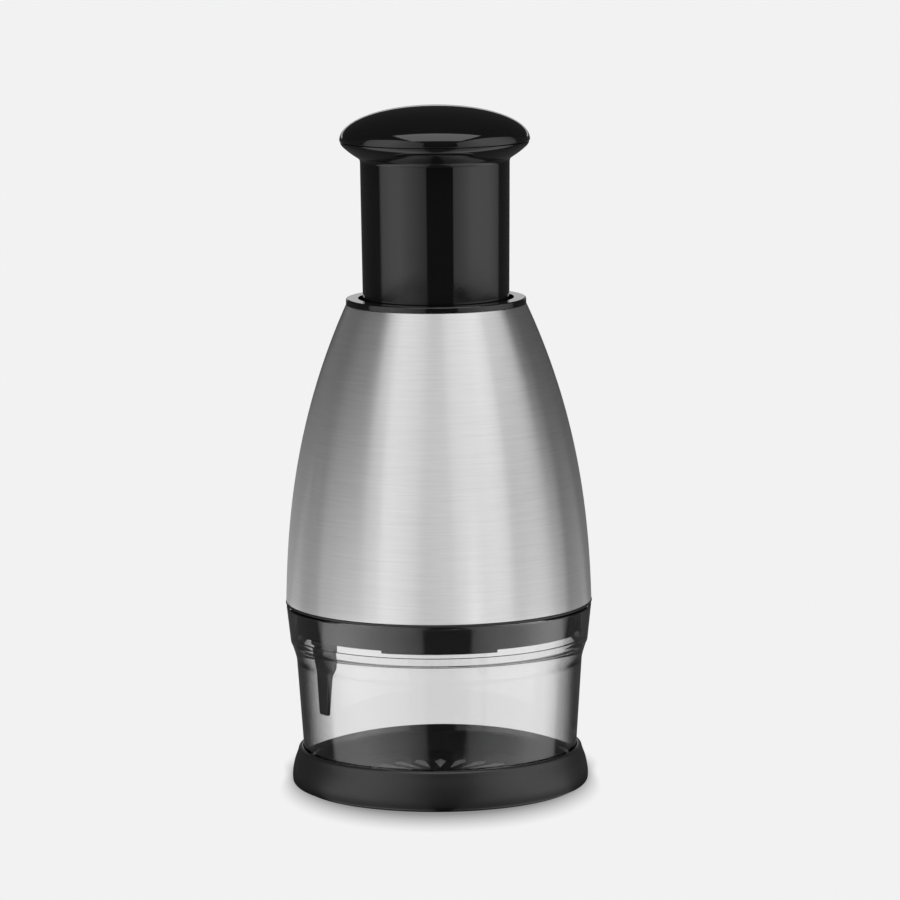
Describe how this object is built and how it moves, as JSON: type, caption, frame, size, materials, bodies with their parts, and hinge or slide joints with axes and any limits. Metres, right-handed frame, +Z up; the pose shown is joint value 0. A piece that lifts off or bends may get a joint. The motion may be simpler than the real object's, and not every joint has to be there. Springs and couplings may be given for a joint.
{
  "type": "plunger food chopper",
  "caption": "Hand chopper: palm knob and plunger over a bell-shaped steel housing, turning zigzag blade inside, clear cup that stands in a black base.",
  "frame": {"origin": "middle of the foot's underside, on the table", "axes": "+Z up along the plunger's axis; -Y faces the user, +X to the user's right"},
  "size_m": [0.1002, 0.1002, 0.2234],
  "materials": {
    "brushed_steel": "stainless steel brushed round the shell",
    "gloss_black": "polished black plastic",
    "satin_black": "satin black plastic",
    "clear": "clear plastic, polished",
    "black_rubber": "matt soft rubber",
    "acetal": "natural white bearing plastic",
    "zinc_steel": "bright plated steel",
    "spring_steel": "drawn stainless spring wire",
    "blade_steel": "ground stainless strip"
  },
  "bodies": {
    "base": {"base_cap": "satin_black", "foot_ring": "black_rubber", "chopping_plate": "gloss_black", "cup_seal": "black_rubber"},
    "cup": {"cup": "clear"},
    "housing": {"steel_shell": "brushed_steel", "trim_ring": "satin_black", "inner_housing": "gloss_black", "guide_collar": "gloss_black", "guide_bush": "acetal", "collar_screws": "zinc_steel", "bearing_plate": "satin_black", "plate_screws": "zinc_steel", "index_nut": "acetal", "ratchet_ring": "spring_steel"},
    "plunger": {"plunger_tube": "gloss_black", "knob_cap": "gloss_black", "knob_screw": "zinc_steel", "push_rod": "satin_black", "spring_seat": "zinc_steel", "stop_ring": "black_rubber", "return_spring": "spring_steel"},
    "blades": {"blade_shaft": "zinc_steel", "thrust_washer": "zinc_steel", "pivot_washer": "zinc_steel", "pivot_screw": "zinc_steel", "blade_hub": "satin_black", "hub_pin": "zinc_steel", "zigzag_blade": "blade_steel", "wiper_pins": "zinc_steel"},
    "wiper": {"wiper_plate": "satin_black", "wiper_springs": "spring_steel"}
  },
  "joints": [
    {"name": "cup_lift", "type": "slide", "parent": "base", "child": "cup", "axis": [0, 0, 1], "range_m": [0, 0.03]},
    {"name": "housing_twist", "type": "hinge", "parent": "cup", "child": "housing", "pos_m": [0, 0, 0.0609], "axis": [0, 0, 1], "range_deg": [0, 20]},
    {"name": "plunge", "type": "slide", "parent": "housing", "child": "plunger", "axis": [0, 0, -1], "range_m": [0, 0.0442], "stiffness_N_per_m": 250, "springref_m": -0.03, "deforming": ["return_spring"]},
    {"name": "blade_index", "type": "hinge", "parent": "plunger", "child": "blades", "pos_m": [0, 0, 0.0786], "axis": [0, 0, 1], "range_deg": [0, 60]},
    {"name": "wiper_slide", "type": "slide", "parent": "blades", "child": "wiper", "axis": [0, 0, 1], "range_m": [0, 0.007], "stiffness_N_per_m": 40, "springref_m": -0.012, "deforming": ["wiper_springs"]}
  ],
  "couplings": [
    {"joint": "blade_index", "follows": "plunge", "rad_per_m": 23.69}
  ]
}
